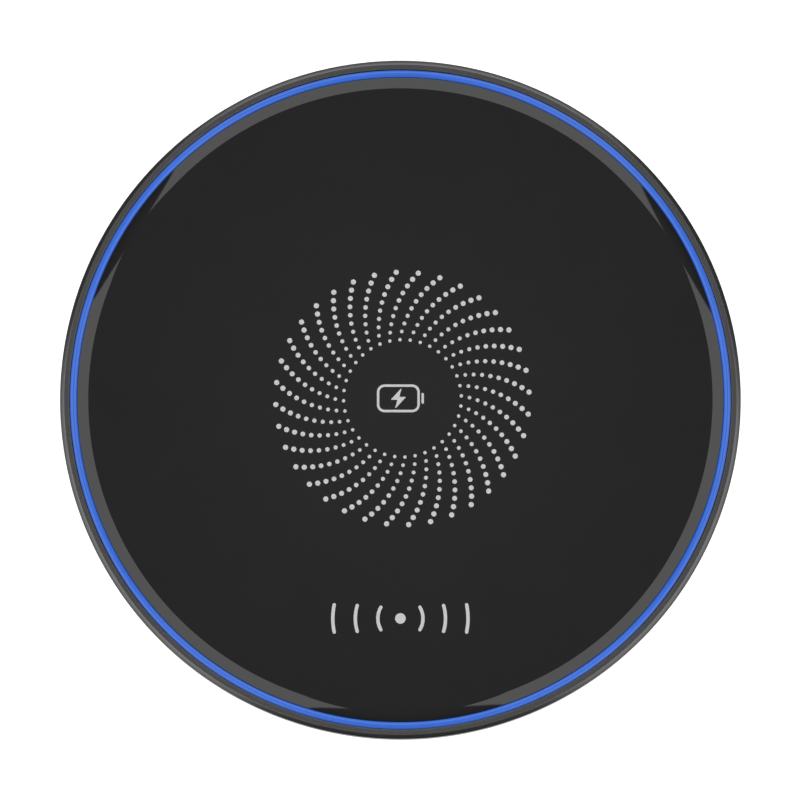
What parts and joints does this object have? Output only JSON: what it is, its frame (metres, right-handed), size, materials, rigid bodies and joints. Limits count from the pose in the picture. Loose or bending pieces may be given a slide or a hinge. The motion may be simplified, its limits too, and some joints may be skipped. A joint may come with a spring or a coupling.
{
  "type": "wireless charging pad",
  "caption": "Round flat wireless charging pad: black bevelled glass top with a dot swirl, a lit blue ring, a dark metal rim, a silicone foot and a coil and board inside.",
  "frame": {"origin": "the middle of the foot's underside, on the surface that the pad stands on", "axes": "+Z up, out of the glass; +Y towards the side with the charging lead's socket; -Y is the near side, with the printed mark; +X to the right as seen from above with +Y up"},
  "size_m": [0.1, 0.1, 0.008],
  "materials": {
    "glass": "polished glass with a black print behind it and a ground and polished bevel",
    "light_guide": "clear moulded light guide, lit blue from below",
    "anodised_rim": "dark grey anodised, fine turned lines, rounded edge",
    "cover_plastic": "fine moulded grain",
    "frame_plastic": "satin moulded",
    "silicone": "matte silicone",
    "adhesive": "film",
    "screw_steel": "zinc plated",
    "copper_wire": "enamelled copper litz",
    "ferrite": "sintered, matte",
    "foam": "open-cell foam",
    "board": "glass-fibre board with green solder mask",
    "socket_steel": "satin nickel plated",
    "socket_plastic": "black moulded",
    "chip_plastic": "moulded epoxy",
    "inductor_body": "pressed iron powder",
    "tantalum_body": "moulded case",
    "crystal_can": "pressed lid",
    "ceramic": "fired ceramic with tinned ends",
    "lamp": "white package with a clear window"
  },
  "bodies": {
    "root": {"top_panel": "glass", "panel_adhesive": "adhesive", "light_ring": "light_guide", "outer_rim": "anodised_rim", "mid_frame": "frame_plastic", "bottom_cover": "cover_plastic", "foot_ring": "silicone", "foot_adhesive": "adhesive", "cover_screw_1": "screw_steel", "cover_screw_2": "screw_steel", "cover_screw_3": "screw_steel", "cover_screw_4": "screw_steel", "charging_coil": "copper_wire", "coil_adhesive": "adhesive", "ferrite_disc": "ferrite", "foam_pad": "foam", "coil_lead_inner": "copper_wire", "coil_lead_outer": "copper_wire", "circuit_board": "board", "usb_shell": "socket_steel", "usb_tongue": "socket_plastic", "controller_chip": "chip_plastic", "bridge_chip": "chip_plastic", "protocol_chip": "chip_plastic", "power_inductor": "inductor_body", "input_cap": "tantalum_body", "crystal": "crystal_can", "sense_resistor": "chip_plastic", "thermistor": "ceramic", "resonance_cap_1": "ceramic", "resonance_cap_2": "ceramic", "resonance_cap_3": "ceramic", "resonance_cap_4": "ceramic", "bypass_cap_1": "ceramic", "bypass_cap_2": "ceramic", "bypass_cap_3": "ceramic", "bypass_cap_4": "ceramic", "side_led_1": "lamp", "side_led_2": "lamp", "side_led_3": "lamp", "side_led_4": "lamp", "side_led_5": "lamp", "side_led_6": "lamp", "side_led_7": "lamp", "side_led_8": "lamp"}
  },
  "joints": []
}
